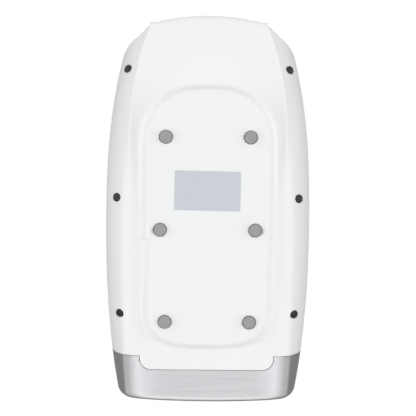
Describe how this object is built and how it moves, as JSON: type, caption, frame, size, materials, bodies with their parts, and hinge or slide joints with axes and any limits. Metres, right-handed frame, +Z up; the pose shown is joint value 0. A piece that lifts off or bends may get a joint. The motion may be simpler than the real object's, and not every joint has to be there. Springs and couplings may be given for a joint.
{
  "type": "hand massager",
  "caption": "Cordless air-pressure hand massager: white shells around an open-fronted hand space, a silver tail cap, grey rubber feet and a control panel on top.",
  "frame": {"origin": "middle of the footprint, on the plane of the rubber feet's undersides", "axes": "+X across the device, +Y from the hand opening to the tail cap, +Z up from the feet to the control panel"},
  "size_m": [0.131, 0.2369, 0.1046],
  "materials": {
    "white_shell": "satin white moulded ABS",
    "silver_cap": "satin silver metallic paint on moulded plastic",
    "mouth_trim": "fine matt moulded plastic",
    "panel": "gloss moulded plastic",
    "button": "satin moulded plastic",
    "light_guide": "frosted clear plastic",
    "rubber_grey": "matt grey rubber",
    "screw_steel": "blackened steel",
    "liner": "knitted lining fabric over foam",
    "inner_frame": "plain moulded plastic",
    "palm_plate": "smooth moulded plastic",
    "heating_film": "polyimide film",
    "airbag": "welded film",
    "battery": "shrink-wrapped lithium cell",
    "board": "solder-masked circuit board",
    "ribbon": "flat flexible cable",
    "pump_plastic": "black moulded plastic",
    "motor_steel": "bright steel",
    "hose": "silicone hose"
  },
  "bodies": {
    "housing": {"lower_shell": "white_shell", "upper_shell": "white_shell", "tail_cap": "silver_cap", "mouth_ring": "mouth_trim", "control_panel": "panel", "light_guide": "light_guide", "rubber_foot_1": "rubber_grey", "rubber_foot_2": "rubber_grey", "rubber_foot_3": "rubber_grey", "rubber_foot_4": "rubber_grey", "rubber_foot_5": "rubber_grey", "rubber_foot_6": "rubber_grey", "housing_screw_1": "screw_steel", "housing_screw_2": "screw_steel", "housing_screw_3": "screw_steel", "housing_screw_4": "screw_steel", "housing_screw_5": "screw_steel", "housing_screw_6": "screw_steel", "hand_liner": "liner", "lower_frame": "inner_frame", "upper_frame": "inner_frame", "lower_airbag": "airbag", "palm_airbag": "airbag", "finger_airbag": "airbag", "battery_pack": "battery", "main_board": "board", "key_board": "board", "charge_board": "board", "ribbon_cable": "ribbon", "pump_cradle": "pump_plastic", "pump_head": "pump_plastic", "pump_cover": "pump_plastic", "air_manifold": "pump_plastic", "pump_motor": "motor_steel", "valve_body_left": "motor_steel", "valve_body_right": "motor_steel", "charging_socket": "motor_steel", "pump_hose": "hose", "lower_hose": "hose", "finger_hose": "hose", "palm_hose": "hose"},
    "heat_button": {"heat_button": "button"},
    "power_button": {"power_button": "button"},
    "intensity_button": {"intensity_button": "button"},
    "palm_lift": {"palm_plate": "palm_plate", "heating_pad": "heating_film"},
    "rotor": {"pump_rotor": "motor_steel"},
    "left_plunger": {"valve_plunger_left": "motor_steel"},
    "right_plunger": {"valve_plunger_right": "motor_steel"}
  },
  "joints": [
    {"name": "heat_button_press", "type": "slide", "parent": "housing", "child": "heat_button", "axis": [0, 0, -1], "range_m": [0, 0.0008], "stiffness_N_per_m": 1500},
    {"name": "power_button_press", "type": "slide", "parent": "housing", "child": "power_button", "axis": [0, 0, -1], "range_m": [0, 0.0008], "stiffness_N_per_m": 1500},
    {"name": "intensity_button_press", "type": "slide", "parent": "housing", "child": "intensity_button", "axis": [0, 0, -1], "range_m": [0, 0.0008], "stiffness_N_per_m": 1500},
    {"name": "palm_plate_lift", "type": "slide", "parent": "housing", "child": "palm_lift", "axis": [0, 0, 1], "range_m": [0, 0.006], "deforming": ["lower_airbag"]},
    {"name": "pump_rotor_spin", "type": "hinge", "parent": "housing", "child": "rotor", "pos_m": [0, 0.098, 0.036], "axis": [1, 0, 0], "continuous": true},
    {"name": "left_valve_stroke", "type": "slide", "parent": "housing", "child": "left_plunger", "axis": [0, 0, -1], "range_m": [0, 0.0012], "stiffness_N_per_m": 400},
    {"name": "right_valve_stroke", "type": "slide", "parent": "housing", "child": "right_plunger", "axis": [0, 0, -1], "range_m": [0, 0.0012], "stiffness_N_per_m": 400}
  ]
}
